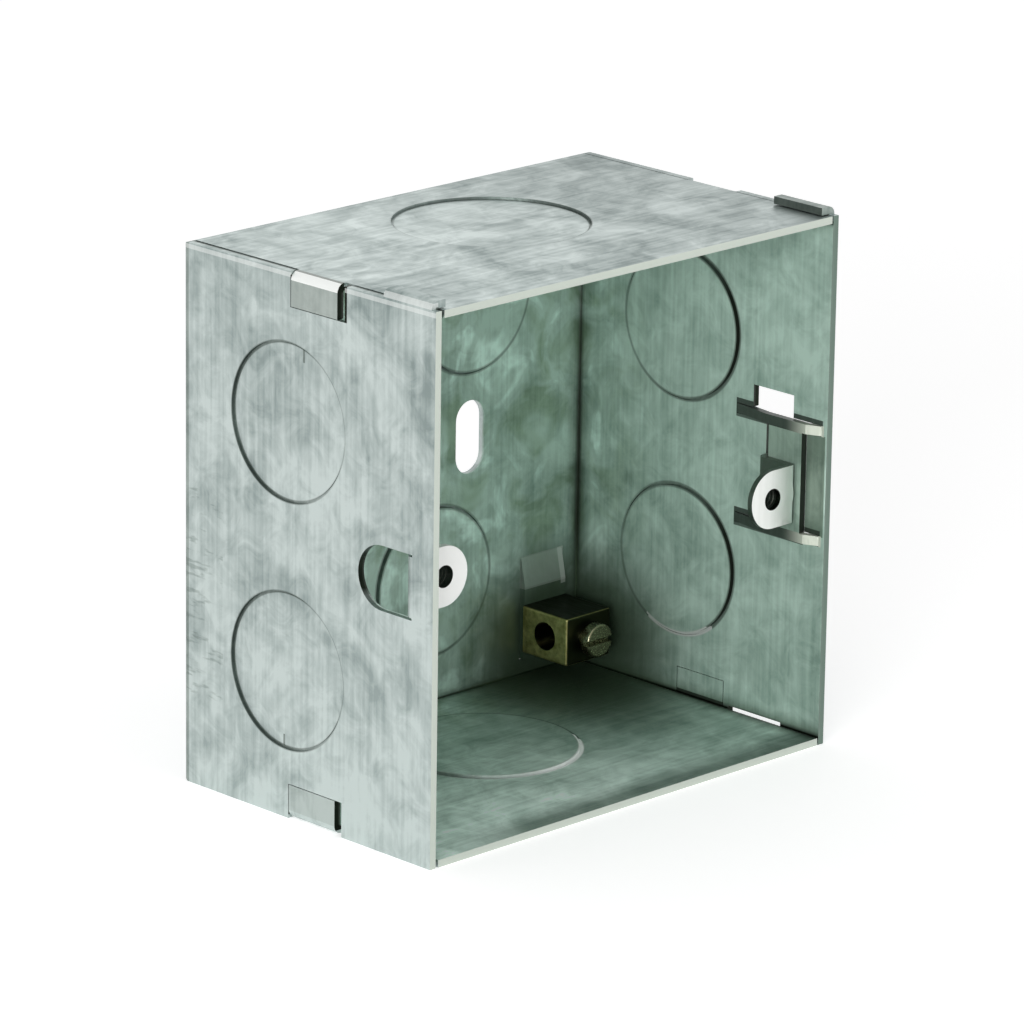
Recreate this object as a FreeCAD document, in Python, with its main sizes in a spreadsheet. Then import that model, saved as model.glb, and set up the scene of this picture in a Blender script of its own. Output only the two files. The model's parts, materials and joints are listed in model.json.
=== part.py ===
import FreeCAD, Part
import math
import os

import Sketcher

# Flush back box for one wiring accessory. A blank of galvanised sheet is folded into an open box with
# butted corner seams, hook tabs, half-sheared knockouts and a fixed lug. An adjustable lug
# hooks round the bar of a bridge lanced out of the right wall, and a brass earth terminal is riveted to a
# tongue of the back.
# Frame: origin at the centre of the back face, +Y out of the back, +Z up, the open front faces -Y.

DRIVING_SIZES = {
    # folded box
    "box_width": 73.0,
    "box_height": 73.0,
    "box_depth": 47.0,
    "sheet": 1.0,
    "fold_radius": 0.3,
    "left_seam_gap": 0.45,
    "right_seam_gap": 0.2,
    # relief in the foot of the right wall, in front of the tab
    "relief_setback": 7.0,
    "relief_length": 9.7,
    "relief_rise": 0.4,
    # tabs of the top and bottom walls, folded down into notches of the side walls
    "tab_setback": 22.0,
    "tab_width": 8.6,
    "tab_drop": 4.6,
    "left_tab_front_gap": 1.3,
    "tab_gap": 0.1,
    "tab_bend_radius": 1.2,
    # lips of the side walls, folded over the front corners of the top wall
    "lip_setback": 0.8,
    "lip_length": 8.6,
    "lip_reach": 2.4,
    "lip_clearance": 0.15,
    "lip_bend_radius": 1.1,
    # lugs for the accessory's two fixing screws
    "lug_centres": 60.3,
    "lug_setback": 4.5,
    "lug_width": 8.0,
    "lug_hole": 2.9,
    "lug_fold_radius": 0.7,
    "lug_window_length": 9.8,
    "lug_window_height": 8.6,
    # knockouts
    "side_knockout": 20.6,
    "side_knockout_pitch": 33.2,
    "side_knockout_setback": 26.8,
    "end_knockout": 25.5,
    "end_knockout_setback": 27.6,
    "back_knockout": 20.6,
    "upper_back_knockout_x": 14.8,
    "upper_back_knockout_rise": 20.0,
    "lower_back_knockout_x": 8.0,
    "lower_back_knockout_drop": 18.6,
    "knockout_step": 0.35,
    "knockout_groove": 0.3,
    "knockout_web": 0.25,
    # fixing slots in the back
    "slot_pitch": 29.2,
    "slot_width": 5.3,
    "slot_length": 10.3,
    "slot_rise": 0.5,
    # bridge lanced out of the right wall for the adjustable lug
    "bridge_drop": 0.6,
    "bridge_span": 13.9,
    "bridge_raise": 0.9,
    "bar_setback": 3.7,
    "bar_width": 6.1,
    "crown_margin": 0.6,
    "wing_height": 1.3,
    "wing_setback": 1.0,
    "wing_length": 15.3,
    "lance_slit": 0.1,
    "window_setback": 6.1,
    "window_length": 7.3,
    "window_height": 3.2,
    # adjustable lug, a strip hooked round the back edge of the bridge's bar
    "clip_sheet": 0.8,
    "clip_clearance": 0.1,
    "clip_lip": 5.0,
    "clip_bend_radius": 0.8,
    "clip_drop": 2.1,
    # earth terminal and the tongue that carries it
    "terminal_inset": 6.9,
    "terminal_rise": 6.8,
    "tongue_width": 7.8,
    "tongue_top_rise": 16.7,
    "tongue_foot_rise": 2.3,
    "tongue_offset": 0.85,
    "tongue_ramp": 4.0,
    "block_width": 8.4,
    "block_length": 8.5,
    "block_height": 6.8,
    "block_edge": 0.35,
    "wire_bore": 4.0,
    "rivet_shank": 3.4,
    "rivet_head": 5.0,
    "rivet_head_height": 0.6,
    "rivet_clearance": 0.02,
    # clamp screw
    "screw_diameter": 3.4,
    "screw_length": 4.4,
    "screw_stand": 2.3,
    "screw_head": 4.8,
    "screw_head_height": 1.4,
    "screw_head_edge": 0.3,
    "screw_clearance": 0.05,
    "screw_slot_width": 0.8,
    "screw_slot_depth": 0.9,
    "screw_point": 0.5,
}

doc = FreeCAD.newDocument("flush_back_box")
size = doc.addObject("Spreadsheet::Sheet", "size")
for row, (alias, millimetres) in enumerate(DRIVING_SIZES.items(), start=1):
    size.set(f"A{row}", alias)
    size.set(f"B{row}", str(millimetres))
    size.setAlias(f"B{row}", alias)
doc.recompute()

# Each plane's sketch axes and normal as axes of the box
SKETCH_AXES = {
    "XY_Plane": (("x", 1), ("y", 1), ("z", 1)),
    "XZ_Plane": (("x", 1), ("z", 1), ("y", -1)),
    "YZ_Plane": (("y", 1), ("z", 1), ("x", 1)),
}
ORIGIN_POINT = (-1, 1)
SKETCH_U_AXIS = -1
SKETCH_V_AXIS = -2
CIRCLE_CENTRE = 3
# An edge counts as passing through a place when it comes this near
EDGE_TOLERANCE = 0.001
# Part of the groove round a knockout that is cut from the outer face
OUTER_GROOVE_SHARE = 0.6


def value(formula):
    return float(size.evalExpression(formula))


def origin_plane(body, plane):
    return next(item for item in body.Origin.OriginFeatures if item.Role == plane)


def new_sketch(body, name, plane, x, y, z):
    sketch = body.newObject("Sketcher::SketchObject", name)
    sketch.AttachmentSupport = [(origin_plane(body, plane), "")]
    sketch.MapMode = "FlatFace"
    place = {"x": x, "y": y, "z": z}
    for component, (axis, sign) in zip("xyz", SKETCH_AXES[plane]):
        sketch.setExpression(f"AttachmentOffset.Base.{component}", f"{sign} * ({place[axis]})")
    return sketch


def dimension(sketch, kind, *ends_and_formula):
    *ends, formula = ends_and_formula
    index = sketch.addConstraint(Sketcher.Constraint(kind, *ends, value(formula)))
    sketch.setExpression(f"Constraints[{index}]", formula)


def place_point(sketch, geometry, end, u, v):
    # fixes a point of the sketch at a pair of formulas, measured from the sketch's origin
    for kind, axis, formula in (("DistanceX", SKETCH_V_AXIS, u), ("DistanceY", SKETCH_U_AXIS, v)):
        if formula == "0":
            sketch.addConstraint(Sketcher.Constraint("PointOnObject", geometry, end, axis))
        else:
            dimension(sketch, kind, *ORIGIN_POINT, geometry, end, formula)


def closed_outline(sketch, corners):
    # returns the index of the first of the outline's lines
    first = sketch.GeometryCount
    count = len(corners)
    for index in range(count):
        sketch.addGeometry(Part.LineSegment(corners[index], corners[(index + 1) % count]), False)
    for index in range(count):
        following = first + (index + 1) % count
        sketch.addConstraint(Sketcher.Constraint("Coincident", first + index, 2, following, 1))
    return first


def rectangle(body, name, plane, width, height, x="0", y="0", z="0"):
    sketch = new_sketch(body, name, plane, x, y, z)
    half_u = value(width) / 2
    half_v = value(height) / 2
    signs = ((-1, -1), (1, -1), (1, 1), (-1, 1))
    closed_outline(sketch, [FreeCAD.Vector(u * half_u, v * half_v, 0) for u, v in signs])
    for index, kind in enumerate(("Horizontal", "Vertical", "Horizontal", "Vertical")):
        sketch.addConstraint(Sketcher.Constraint(kind, index))
    sketch.addConstraint(Sketcher.Constraint("Symmetric", 0, 1, 1, 2, *ORIGIN_POINT))
    dimension(sketch, "DistanceX", 0, 1, 0, 2, width)
    dimension(sketch, "DistanceY", 1, 1, 1, 2, height)
    return sketch


def polygons(body, name, plane, outlines, x="0", y="0", z="0"):
    # each outline is a list of corners, which are pairs of formulas
    sketch = new_sketch(body, name, plane, x, y, z)
    for corners in outlines:
        first = closed_outline(sketch, [FreeCAD.Vector(value(u), value(v), 0) for u, v in corners])
        for index, (u, v) in enumerate(corners):
            place_point(sketch, first + index, 1, u, v)
    return sketch


def block_outline(u_from, u_to, v_from, v_to):
    return [(u_from, v_from), (u_to, v_from), (u_to, v_to), (u_from, v_to)]


def circles(body, name, plane, diameters, x="0", y="0", z="0", centres=(("0", "0"),)):
    # the same set of circles about each centre, which is a pair of formulas
    sketch = new_sketch(body, name, plane, x, y, z)
    for u, v in centres:
        middle = FreeCAD.Vector(value(u), value(v), 0)
        for diameter in diameters:
            outline = Part.Circle(middle, FreeCAD.Vector(0, 0, 1), value(diameter) / 2)
            index = sketch.addGeometry(outline, False)
            place_point(sketch, index, CIRCLE_CENTRE, u, v)
            dimension(sketch, "Diameter", index, diameter)
    return sketch


def upright_slot(body, name, plane, width, length, x="0", y="0", z="0"):
    sketch = new_sketch(body, name, plane, x, y, z)
    radius = value(width) / 2
    reach = value(length) / 2 - radius
    normal = FreeCAD.Vector(0, 0, 1)
    top = Part.Circle(FreeCAD.Vector(0, reach, 0), normal, radius)
    foot = Part.Circle(FreeCAD.Vector(0, -reach, 0), normal, radius)
    sketch.addGeometry(Part.ArcOfCircle(top, 0, math.pi), False)
    sketch.addGeometry(Part.ArcOfCircle(foot, math.pi, 2 * math.pi), False)
    for side, arc_end, foot_end in ((-1, 2, 1), (1, 1, 2)):
        upper = FreeCAD.Vector(side * radius, reach, 0)
        lower = FreeCAD.Vector(side * radius, -reach, 0)
        line = sketch.addGeometry(Part.LineSegment(upper, lower), False)
        sketch.addConstraint(Sketcher.Constraint("Tangent", 0, arc_end, line, 1))
        sketch.addConstraint(Sketcher.Constraint("Tangent", 1, foot_end, line, 2))
    sketch.addConstraint(Sketcher.Constraint("Symmetric", 0, CIRCLE_CENTRE, 1, CIRCLE_CENTRE, *ORIGIN_POINT))
    sketch.addConstraint(Sketcher.Constraint("PointOnObject", 0, CIRCLE_CENTRE, SKETCH_V_AXIS))
    dimension(sketch, "Radius", 0, f"({width}) / 2")
    dimension(sketch, "DistanceY", 1, CIRCLE_CENTRE, 0, CIRCLE_CENTRE, f"({length}) - ({width})")
    return sketch


def extrude(body, kind, name, sketch, length):
    # every pad and pocket runs half its length to each side of its sketch
    feature = body.newObject("PartDesign::" + kind, name)
    feature.Profile = sketch
    feature.SideType = "Symmetric"
    feature.setExpression("Length", length)
    return feature


def pad(body, name, sketch, length):
    return extrude(body, "Pad", name, sketch, length)


def pocket(body, name, sketch, length):
    return extrude(body, "Pocket", name, sketch, length)


def mirror(body, name, features, plane):
    feature = body.newObject("PartDesign::Mirrored", name)
    feature.Originals = features
    feature.MirrorPlane = (origin_plane(body, plane), [""])
    body.Tip = feature
    return feature


def edge_through(shape, place):
    # name of the edge that passes through a place given as a triple of formulas
    corner = FreeCAD.Vector(*[value(formula) for formula in place])
    point = Part.Vertex(corner)
    for index, edge in enumerate(shape.Edges, start=1):
        box = edge.BoundBox
        box.enlarge(EDGE_TOLERANCE)
        if box.isInside(corner) and edge.distToShape(point)[0] < EDGE_TOLERANCE:
            return f"Edge{index}"
    raise RuntimeError(f"no edge at {place}")


def round_off(body, kind, name, places):
    doc.recompute()
    base = body.Tip
    edges = [edge_through(base.Shape, place) for place in places]
    feature = body.newObject("PartDesign::" + kind, name)
    feature.Base = (base, edges)
    return feature


def fillet(body, name, radius, places):
    feature = round_off(body, "Fillet", name, places)
    feature.setExpression("Radius", radius)
    return feature


def setback(distance):
    # y of a place that lies this far behind the front opening
    return f"({distance} - size.box_depth)"


# Faces of the folded box
half_width = "(size.box_width / 2)"
half_height = "(size.box_height / 2)"
side_inner = f"({half_width} - size.sheet)"
end_inner = f"({half_height} - size.sheet)"
side_middle = f"({half_width} - size.sheet / 2)"
end_middle = f"({half_height} - size.sheet / 2)"
fold_outer = "(size.sheet + size.fold_radius)"
through_sheet = "2 * size.sheet"
past_end = f"({half_height} + size.sheet)"

# Bridge and clip of the adjustable lug, measured from the front opening or from the middle of the box
bar_back = "(size.bar_setback + size.bar_width)"
bar_inner = f"({side_inner} - size.bridge_raise)"
bar_outer = f"({half_width} - size.bridge_raise)"
wing_back = "(size.wing_setback + size.wing_length)"
clip_back = f"({bar_back} + size.clip_clearance + size.clip_sheet)"
lug_x = "(size.lug_centres / 2)"

# Earth terminal, measured from the inner corner of the right, bottom and back walls
terminal_x = f"({side_inner} - size.terminal_inset)"
terminal_z = f"(size.terminal_rise - {end_inner})"
tongue_top = f"(size.tongue_top_rise - {end_inner})"
tongue_foot = f"(size.tongue_foot_rise - {end_inner})"
tongue_face = "(-size.tongue_offset - size.sheet)"
block_front = f"({tongue_face} - size.block_length)"
bore_y = f"({tongue_face} - size.block_length / 2)"


def fold_shell(body):
    outline = rectangle(body, "shell_outline", "XZ_Plane", "size.box_width", "size.box_height",
                        y="-size.box_depth / 2")
    pad(body, "shell_block", outline, "size.box_depth")
    fillet(body, "outer_folds", fold_outer,
           [(half_width, "0", "0"), (f"-{half_width}", "0", "0"),
            ("0", "0", half_height), ("0", "0", f"-{half_height}")])
    cavity = rectangle(body, "cavity_outline", "XZ_Plane", f"2 * {side_inner}", f"2 * {end_inner}",
                       y="-size.sheet - size.box_depth / 2")
    pocket(body, "cavity", cavity, "size.box_depth")
    fillet(body, "inner_folds", "size.fold_radius",
           [(side_inner, "-size.sheet", "0"), (f"-{side_inner}", "-size.sheet", "0"),
            ("0", "-size.sheet", end_inner), ("0", "-size.sheet", f"-{end_inner}")])


def open_corner_seams(body):
    seam_length = "(size.box_depth - size.fold_radius)"
    end_from = f"({end_inner} - size.sheet)"
    seams = [block_outline(f"{side} * ({side_inner} - {gap})", f"{side} * {side_inner}",
                           f"{end} * {end_from}", f"{end} * {past_end}")
             for side, gap in ((-1, "size.left_seam_gap"), (1, "size.right_seam_gap")) for end in (-1, 1)]
    outline = polygons(body, "corner_seam_outlines", "XZ_Plane", seams,
                       y=f"-{fold_outer} - {seam_length} / 2")
    pocket(body, "corner_seams", outline, seam_length)


def add_hook_tabs(body):
    tab_end = f"({half_height} - size.tab_drop)"
    notch_end = f"({tab_end} - size.tab_gap)"
    notch_back = setback("size.tab_setback + size.tab_width / 2 + size.tab_gap")
    sides = ((-1, "left", "size.left_tab_front_gap", "size.left_seam_gap"),
             (1, "right", "size.tab_gap", "size.right_seam_gap"))
    for side, side_name, front_gap, seam_gap in sides:
        notch_front = setback(f"size.tab_setback - size.tab_width / 2 - {front_gap}")
        notches = [block_outline(notch_front, notch_back, f"{end} * {notch_end}", f"{end} * {past_end}")
                   for end in (-1, 1)]
        outline = polygons(body, f"{side_name}_notch_outlines", "YZ_Plane", notches,
                           x=f"{side} * {side_middle}")
        pocket(body, f"{side_name}_notches", outline, f"size.sheet + {seam_gap}")
    root = f"({side_inner} - size.left_seam_gap - size.sheet)"
    section = [(root, end_inner), (side_inner, end_inner), (side_inner, tab_end),
               (half_width, tab_end), (half_width, half_height), (root, half_height)]
    corners = [(side, end) for side in (-1, 1) for end in (-1, 1)]
    sections = [[(f"{side} * {u}", f"{end} * {v}") for u, v in section] for side, end in corners]
    tabs = polygons(body, "tab_sections", "XZ_Plane", sections, y=setback("size.tab_setback"))
    pad(body, "tabs", tabs, "size.tab_width")
    fillet(body, "tab_bends", "size.tab_bend_radius",
           [(f"{side} * {half_width}", setback("size.tab_setback"), f"{end} * {half_height}")
            for side, end in corners])


def relieve_right_wall(body):
    relief_end = "size.relief_setback + size.relief_length"
    relief = block_outline(setback("size.relief_setback"), setback(relief_end),
                           f"-{past_end}", f"size.relief_rise - {end_inner}")
    outline = polygons(body, "foot_relief_outline", "YZ_Plane", [relief], x=side_middle)
    pocket(body, "foot_relief", outline, "size.sheet")


def add_corner_lips(body):
    lip_middle = setback("size.lip_setback + size.lip_length / 2")
    lip_under = f"({half_height} + size.lip_clearance)"
    lip_over = f"({lip_under} + size.sheet)"
    lip_end = f"({half_width} - size.lip_reach)"
    section = [(half_width, end_inner), (half_width, lip_over), (lip_end, lip_over),
               (lip_end, lip_under), (side_inner, lip_under), (side_inner, end_inner)]
    sections = [[(f"{side} * {u}", v) for u, v in section] for side in (-1, 1)]
    lips = polygons(body, "lip_sections", "XZ_Plane", sections, y=lip_middle)
    pad(body, "lips", lips, "size.lip_length")
    fillet(body, "lip_bends", "size.lip_bend_radius",
           [(f"{side} * {half_width}", lip_middle, lip_over) for side in (-1, 1)])


def bend_fixed_lug(body):
    fold_start = "(size.lug_setback - size.lug_fold_radius)"
    round_middle = f"({fold_start} + size.lug_window_length - size.lug_window_height / 2)"
    window = rectangle(body, "lug_window_outline", "YZ_Plane",
                       f"{round_middle} - {fold_start}", "size.lug_window_height",
                       x=f"-{side_middle}", y=setback(f"({round_middle} + {fold_start}) / 2"))
    pocket(body, "lug_window", window, through_sheet)
    round_end = circles(body, "lug_window_end_outline", "YZ_Plane", ["size.lug_window_height"],
                       x=f"-{side_middle}", y=setback(round_middle))
    pocket(body, "lug_window_end", round_end, through_sheet)
    lug_back = "(size.lug_setback + size.sheet)"
    section = [(f"-{half_width}", setback(fold_start)), (f"-{half_width}", setback(lug_back)),
               (f"-{lug_x}", setback(lug_back)), (f"-{lug_x}", setback("size.lug_setback")),
               (f"-{side_inner}", setback("size.lug_setback")), (f"-{side_inner}", setback(fold_start))]
    pad(body, "fixed_lug", polygons(body, "fixed_lug_section", "XY_Plane", [section]), "size.lug_width")
    fillet(body, "fixed_lug_outer_bend", "size.lug_fold_radius + size.sheet",
           [(f"-{half_width}", setback(lug_back), "0")])
    fillet(body, "fixed_lug_inner_bend", "size.lug_fold_radius",
           [(f"-{side_inner}", setback("size.lug_setback"), "0")])
    lug_middle = setback("size.lug_setback + size.sheet / 2")
    tip = circles(body, "fixed_lug_tip_outline", "XZ_Plane", ["size.lug_width"], x=f"-{lug_x}", y=lug_middle)
    pad(body, "fixed_lug_tip", tip, "size.sheet")
    hole = circles(body, "fixed_lug_hole_outline", "XZ_Plane", ["size.lug_hole"], x=f"-{lug_x}", y=lug_middle)
    pocket(body, "fixed_lug_hole", hole, through_sheet)


def lance_lug_bridge(body):
    wing_inner = "(size.bridge_span / 2)"
    wing_outer = f"({wing_inner} + size.wing_height)"
    wing_middle = f"({wing_inner} + size.wing_height / 2)"
    slot_inner = f"({wing_inner} - size.lance_slit)"
    slot_outer = f"({wing_outer} + size.lance_slit)"
    wing_front = setback("size.wing_setback")
    wing_end = setback(wing_back)
    slot_front = setback("size.bar_setback - size.lance_slit")
    slot_back = setback(f"({clip_back} + 2 * size.clip_clearance)")
    upper_half = [(slot_front, slot_inner), (wing_front, slot_inner), (wing_front, slot_outer),
                  (wing_end, slot_outer), (wing_end, slot_inner), (slot_back, slot_inner)]
    lower_half = [(u, f"-{v}") for u, v in reversed(upper_half)]
    slot = polygons(body, "bridge_slot_outline", "YZ_Plane", [upper_half + lower_half],
                    x=side_middle, z="-size.bridge_drop")
    pocket(body, "bridge_slot", slot, through_sheet)
    window_end = "size.window_setback + size.window_length"
    window = block_outline(setback("size.window_setback"), setback(window_end),
                           wing_outer, f"({wing_outer} + size.window_height)")
    opening = polygons(body, "bridge_window_outline", "YZ_Plane", [window],
                       x=side_middle, z="-size.bridge_drop")
    pocket(body, "bridge_window", opening, through_sheet)
    crown_front = setback("(size.bar_setback - size.crown_margin)")
    crown_back = setback(f"({bar_back} + size.crown_margin)")
    wing_section = [(side_inner, wing_front), (bar_inner, crown_front), (bar_inner, crown_back),
                    (side_inner, wing_end), (half_width, wing_end), (bar_outer, crown_back),
                    (bar_outer, crown_front), (half_width, wing_front)]
    for end, end_name in ((1, "upper"), (-1, "lower")):
        wing = polygons(body, f"{end_name}_wing_section", "XY_Plane", [wing_section],
                        z=f"{end} * {wing_middle} - size.bridge_drop")
        pad(body, f"{end_name}_wing", wing, "size.wing_height")
    bar = block_outline(setback("size.bar_setback"), setback(bar_back), f"-{wing_outer}", wing_outer)
    outline = polygons(body, "bar_outline", "YZ_Plane", [bar],
                       x=f"({bar_inner} + {bar_outer}) / 2", z="-size.bridge_drop")
    pad(body, "bridge_bar", outline, "size.sheet")


def shear_knockouts(body, name, plane, diameter, centres, outer_face, inner_face):
    # a disc is pushed inwards by a step, and a thin web is left between a groove on each face
    groove_depth = "(size.sheet - size.knockout_web)"
    ring = [diameter, f"{diameter} + 2 * size.knockout_groove"]
    cuts = (
        (pocket, "recess", [diameter], outer_face, "2 * size.knockout_step"),
        (pad, "disc", [diameter], inner_face, "2 * size.knockout_step"),
        (pocket, "outer_groove", ring, outer_face, f"2 * {OUTER_GROOVE_SHARE} * {groove_depth}"),
        (pocket, "inner_groove", ring, inner_face, f"2 * (1 - {OUTER_GROOVE_SHARE}) * {groove_depth}"),
    )
    features = []
    for shape_of, step, diameters, face, length in cuts:
        outline = circles(body, f"{name}_{step}_outlines", plane, diameters, centres=centres, **face)
        features.append(shape_of(body, f"{name}_{step}", outline, length))
    return features


def add_knockouts(body):
    side_centres = [(setback("size.side_knockout_setback"), f"{end} * size.side_knockout_pitch / 2")
                    for end in (-1, 1)]
    left = shear_knockouts(body, "left_knockouts", "YZ_Plane", "size.side_knockout", side_centres,
                           {"x": f"-{half_width}"}, {"x": f"-{side_inner}"})
    mirror(body, "right_knockouts", left, "YZ_Plane")
    end_centre = [("0", setback("size.end_knockout_setback"))]
    top = shear_knockouts(body, "top_knockout", "XY_Plane", "size.end_knockout", end_centre,
                          {"z": half_height}, {"z": end_inner})
    mirror(body, "bottom_knockout", top, "XY_Plane")
    back_centres = [("size.upper_back_knockout_x", "size.upper_back_knockout_rise"),
                    ("size.lower_back_knockout_x", "-size.lower_back_knockout_drop")]
    shear_knockouts(body, "back_knockouts", "XZ_Plane", "size.back_knockout", back_centres,
                    {"y": "0"}, {"y": "-size.sheet"})


def cut_fixing_slots(body):
    outline = upright_slot(body, "right_fixing_slot_outline", "XZ_Plane",
                           "size.slot_width", "size.slot_length",
                           x="size.slot_pitch / 2", y="-size.sheet / 2", z="size.slot_rise")
    slot = pocket(body, "right_fixing_slot", outline, through_sheet)
    mirror(body, "left_fixing_slot", [slot], "YZ_Plane")


def lance_terminal_tongue(body):
    slot_foot = f"({tongue_foot} - size.lance_slit)"
    slot = rectangle(body, "tongue_slot_outline", "XZ_Plane",
                     "size.tongue_width + 2 * size.lance_slit", f"{tongue_top} - {slot_foot}",
                     x=terminal_x, y="-size.sheet / 2", z=f"({tongue_top} + {slot_foot}) / 2")
    pocket(body, "tongue_slot", slot, through_sheet)
    ramp_foot = f"({tongue_top} - size.tongue_ramp)"
    section = [("0", tongue_top), ("-size.tongue_offset", ramp_foot), ("-size.tongue_offset", tongue_foot),
               (tongue_face, tongue_foot), (tongue_face, ramp_foot), ("-size.sheet", tongue_top)]
    tongue = polygons(body, "tongue_section", "YZ_Plane", [section], x=terminal_x)
    pad(body, "tongue", tongue, "size.tongue_width")
    hole = circles(body, "rivet_hole_outline", "XZ_Plane", ["size.rivet_shank + 2 * size.rivet_clearance"],
                  x=terminal_x, y="-size.tongue_offset - size.sheet / 2", z=terminal_z)
    pocket(body, "rivet_hole", hole, through_sheet)


def make_box_body():
    body = doc.addObject("PartDesign::Body", "box_body")
    fold_shell(body)
    add_knockouts(body)
    cut_fixing_slots(body)
    open_corner_seams(body)
    add_hook_tabs(body)
    relieve_right_wall(body)
    add_corner_lips(body)
    bend_fixed_lug(body)
    lance_lug_bridge(body)
    lance_terminal_tongue(body)
    return body


def make_adjustable_lug():
    body = doc.addObject("PartDesign::Body", "adjustable_lug")
    height = "-size.clip_drop"
    plate_inner = f"({bar_outer} + size.clip_clearance)"
    plate_outer = f"({plate_inner} + size.clip_sheet)"
    base_outer = f"({bar_inner} - size.clip_clearance)"
    base_inner = f"({base_outer} - size.clip_sheet)"
    front = setback("size.lug_setback")
    lug_back = setback("(size.lug_setback + size.clip_sheet)")
    return_front = setback(f"({bar_back} + size.clip_clearance)")
    back = setback(clip_back)
    plate_end = setback(f"({clip_back} - size.clip_lip)")
    section = [(lug_x, front), (base_outer, front), (base_outer, return_front), (plate_inner, return_front),
               (plate_inner, plate_end), (plate_outer, plate_end), (plate_outer, back), (base_inner, back),
               (base_inner, lug_back), (lug_x, lug_back)]
    pad(body, "clip", polygons(body, "clip_section", "XY_Plane", [section], z=height), "size.lug_width")
    fillet(body, "clip_bends", "size.clip_bend_radius",
           [(base_outer, front, height), (plate_outer, back, height), (base_inner, back, height)])
    lug_middle = setback("size.lug_setback + size.clip_sheet / 2")
    tip = circles(body, "lug_tip_outline", "XZ_Plane", ["size.lug_width"], x=lug_x, y=lug_middle, z=height)
    pad(body, "lug_tip", tip, "size.clip_sheet")
    hole = circles(body, "lug_hole_outline", "XZ_Plane", ["size.lug_hole"], x=lug_x, y=lug_middle, z=height)
    pocket(body, "lug_hole", hole, "2 * size.clip_sheet")
    return body


def make_terminal_block():
    body = doc.addObject("PartDesign::Body", "earth_terminal_block")
    outline = rectangle(body, "block_outline", "XZ_Plane", "size.block_width", "size.block_height",
                        x=terminal_x, y=bore_y, z=terminal_z)
    pad(body, "block", outline, "size.block_length")
    half_block = "size.block_width / 2"
    half_rise = "size.block_height / 2"
    corners = [(f"{terminal_x} + {side} * {half_block}", bore_y, f"{terminal_z} + {end} * {half_rise}")
               for side in (-1, 1) for end in (-1, 1)]
    rim = [(f"{terminal_x} + {side} * {half_block}", block_front, terminal_z) for side in (-1, 1)]
    rim += [(terminal_x, block_front, f"{terminal_z} + {end} * {half_rise}") for end in (-1, 1)]
    fillet(body, "block_edges", "size.block_edge", corners + rim)
    bore = circles(body, "wire_bore_outline", "YZ_Plane", ["size.wire_bore"],
                  x=terminal_x, y=bore_y, z=terminal_z)
    pocket(body, "wire_bore", bore, "2 * size.block_width")
    screw_hole = "size.screw_diameter + 2 * size.screw_clearance"
    thread = circles(body, "screw_hole_outline", "XZ_Plane", [screw_hole],
                     x=terminal_x, y=block_front, z=terminal_z)
    pocket(body, "screw_hole", thread, "size.block_length")
    shank_end = "(size.rivet_head_height - size.tongue_offset)"
    shank = circles(body, "rivet_shank_outline", "XZ_Plane", ["size.rivet_shank"],
                   x=terminal_x, y=f"({shank_end} + {tongue_face}) / 2", z=terminal_z)
    pad(body, "rivet_shank", shank, f"{shank_end} - {tongue_face}")
    head = circles(body, "rivet_head_outline", "XZ_Plane", ["size.rivet_head"],
                  x=terminal_x, y="size.rivet_head_height / 2 - size.tongue_offset", z=terminal_z)
    pad(body, "rivet_head", head, "size.rivet_head_height")
    return body


def make_terminal_screw():
    body = doc.addObject("PartDesign::Body", "earth_terminal_screw")
    screw_face = f"({block_front} - size.screw_stand)"
    head_under = f"({screw_face} + size.screw_head_height)"
    screw_point = f"({screw_face} + size.screw_length)"
    head = circles(body, "head_outline", "XZ_Plane", ["size.screw_head"],
                   x=terminal_x, y=f"({screw_face} + {head_under}) / 2", z=terminal_z)
    pad(body, "head", head, "size.screw_head_height")
    fillet(body, "head_edge", "size.screw_head_edge",
           [(terminal_x, screw_face, f"{terminal_z} + size.screw_head / 2")])
    shank = circles(body, "shank_outline", "XZ_Plane", ["size.screw_diameter"],
                    x=terminal_x, y=f"({head_under} + {screw_point}) / 2", z=terminal_z)
    pad(body, "shank", shank, f"{screw_point} - {head_under}")
    point_edge = (terminal_x, screw_point, f"{terminal_z} + size.screw_diameter / 2")
    bevel = round_off(body, "Chamfer", "point", [point_edge])
    bevel.setExpression("Size", "size.screw_point")
    slot = rectangle(body, "driver_slot_outline", "XZ_Plane", "2 * size.screw_head", "size.screw_slot_width",
                     x=terminal_x, y=screw_face, z=terminal_z)
    pocket(body, "driver_slot", slot, "2 * size.screw_slot_depth")
    return body


def check_feature_volumes(body):
    # every pad has to add material and every pocket has to take some away
    for feature in body.Group:
        before = feature.BaseFeature.Shape.Volume if getattr(feature, "BaseFeature", None) else 0.0
        if feature.isDerivedFrom("PartDesign::Pad") and feature.Shape.Volume <= before:
            raise RuntimeError(f"{body.Label}: {feature.Label} adds nothing")
        if feature.isDerivedFrom("PartDesign::Pocket") and feature.Shape.Volume >= before:
            raise RuntimeError(f"{body.Label}: {feature.Label} cuts nothing")
        if feature.isDerivedFrom("PartDesign::Mirrored") and feature.Shape.Volume == before:
            raise RuntimeError(f"{body.Label}: {feature.Label} changes nothing")


sub_parts = [make_box_body(), make_adjustable_lug(), make_terminal_block(), make_terminal_screw()]
doc.recompute()

failed = [item.Name for item in doc.Objects if "Invalid" in item.State or "Error" in item.State]
if failed:
    raise RuntimeError(f"failed features: {failed}")
for sub_part in sub_parts:
    check_feature_volumes(sub_part)
    if sub_part.Shape.isNull() or not sub_part.Shape.isValid():
        raise RuntimeError(f"{sub_part.Label} has no valid shape")
    if len(sub_part.Shape.Solids) != 1:
        raise RuntimeError(f"{sub_part.Label} is not one solid")

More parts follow.
